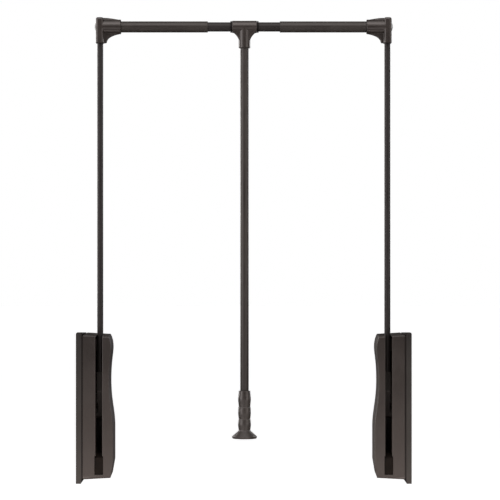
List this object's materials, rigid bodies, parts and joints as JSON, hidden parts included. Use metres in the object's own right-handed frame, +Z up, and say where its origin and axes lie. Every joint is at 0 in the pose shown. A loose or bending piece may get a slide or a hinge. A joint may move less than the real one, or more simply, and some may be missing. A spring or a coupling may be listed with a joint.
{
  "type": "pull down closet rod",
  "caption": "Wall-mounted pull down closet rod: two slotted housings with swinging arms, a telescopic hanging rod between them and a hanging pull pole with a grip.",
  "frame": {"origin": "centre of the left wall plate's four screw holes, on the face that meets the wall", "axes": "+X from the left wall to the right wall, +Y to the back of the closet, +Z up"},
  "size_m": [0.66, 0.12, 0.9206],
  "materials": {
    "plate": "satin dark bronze paint",
    "housing": "fine textured dark bronze plastic",
    "dark_bronze": "satin dark bronze powder coat",
    "fitting_bronze": "semi-gloss dark bronze paint",
    "grip_brown": "soft satin moulded plastic",
    "collar_black": "black moulded ring",
    "bumper_rubber": "black brown rubber",
    "lever_casting": "dark painted casting",
    "bright_steel": "ground steel",
    "strut_black": "gloss black paint",
    "bush_nylon": "black nylon",
    "screws": "blackened steel"
  },
  "bodies": {
    "left_housing": {"left_wall_plate": "plate", "left_outer_shell": "housing", "left_inner_cover": "housing", "left_cover_screws": "screws", "left_plate_screws": "screws", "left_arm_bumper": "bumper_rubber", "left_rest_pad": "bumper_rubber", "left_pivot_pin": "bright_steel", "left_strut_cylinder": "strut_black", "left_strut_anchor": "bright_steel"},
    "left_arm": {"left_lever": "lever_casting", "left_cam": "lever_casting", "left_pivot_bushes": "bush_nylon", "left_arm": "dark_bronze", "left_elbow": "fitting_bronze", "left_elbow_screws": "screws", "left_elbow_cap": "fitting_bronze", "left_outer_tube": "dark_bronze", "left_guide_sleeve": "bush_nylon"},
    "left_strut": {"left_strut_rod": "bright_steel", "left_strut_fork": "lever_casting", "left_roller_pin": "bright_steel"},
    "left_roller": {"left_cam_roller": "bush_nylon"},
    "centre_rod": {"inner_tube": "dark_bronze", "rod_collars": "collar_black"},
    "pull_handle": {"tee_bracket": "fitting_bronze", "tee_bushes": "bush_nylon", "tee_screw": "screws", "pull_pole": "dark_bronze", "hand_grip": "grip_brown", "grip_cap": "grip_brown"},
    "right_arm": {"right_lever": "lever_casting", "right_cam": "lever_casting", "right_pivot_bushes": "bush_nylon", "right_arm": "dark_bronze", "right_elbow": "fitting_bronze", "right_elbow_screws": "screws", "right_elbow_cap": "fitting_bronze", "right_outer_tube": "dark_bronze", "right_guide_sleeve": "bush_nylon"},
    "right_housing": {"right_wall_plate": "plate", "right_outer_shell": "housing", "right_inner_cover": "housing", "right_cover_screws": "screws", "right_plate_screws": "screws", "right_arm_bumper": "bumper_rubber", "right_rest_pad": "bumper_rubber", "right_pivot_pin": "bright_steel", "right_strut_cylinder": "strut_black", "right_strut_anchor": "bright_steel"},
    "right_strut": {"right_strut_rod": "bright_steel", "right_strut_fork": "lever_casting", "right_roller_pin": "bright_steel"},
    "right_roller": {"right_cam_roller": "bush_nylon"}
  },
  "joints": [
    {"name": "swing", "type": "hinge", "parent": "left_housing", "child": "left_arm", "pos_m": [0.045, 0.017, -0.0108], "axis": [1, 0, 0], "range_deg": [0, 117], "stiffness_Nm_per_rad": 8, "springref_deg": -17.19},
    {"name": "left_telescope", "type": "slide", "parent": "left_arm", "child": "centre_rod", "axis": [1, 0, 0], "range_m": [0, 0.114]},
    {"name": "right_telescope", "type": "slide", "parent": "centre_rod", "child": "right_arm", "axis": [1, 0, 0], "range_m": [0, 0.114]},
    {"name": "handle_swivel", "type": "hinge", "parent": "centre_rod", "child": "pull_handle", "pos_m": [0.3314, -0.018, 0.7559], "axis": [1, 0, 0], "continuous": true},
    {"name": "right_pivot", "type": "hinge", "parent": "right_arm", "child": "right_housing", "pos_m": [0.615, 0.017, -0.0108], "axis": [1, 0, 0], "range_deg": [-117, 0]},
    {"name": "left_strut_slide", "type": "slide", "parent": "left_housing", "child": "left_strut", "axis": [0, 0, 1], "range_m": [0, 0.0236]},
    {"name": "right_strut_slide", "type": "slide", "parent": "right_housing", "child": "right_strut", "axis": [0, 0, 1], "range_m": [0, 0.0236]},
    {"name": "left_roller_spin", "type": "hinge", "parent": "left_strut", "child": "left_roller", "pos_m": [0.028, 0.017, 0.0122], "axis": [1, 0, 0], "continuous": true},
    {"name": "right_roller_spin", "type": "hinge", "parent": "right_strut", "child": "right_roller", "pos_m": [0.632, 0.017, 0.0122], "axis": [1, 0, 0], "continuous": true}
  ],
  "couplings": [
    {"joint": "right_telescope", "follows": "left_telescope", "ratio": 1},
    {"joint": "right_pivot", "follows": "swing", "ratio": -1},
    {"joint": "left_strut_slide", "follows": "swing", "m_per_rad": 0.0115},
    {"joint": "right_strut_slide", "follows": "swing", "m_per_rad": 0.0115}
  ]
}
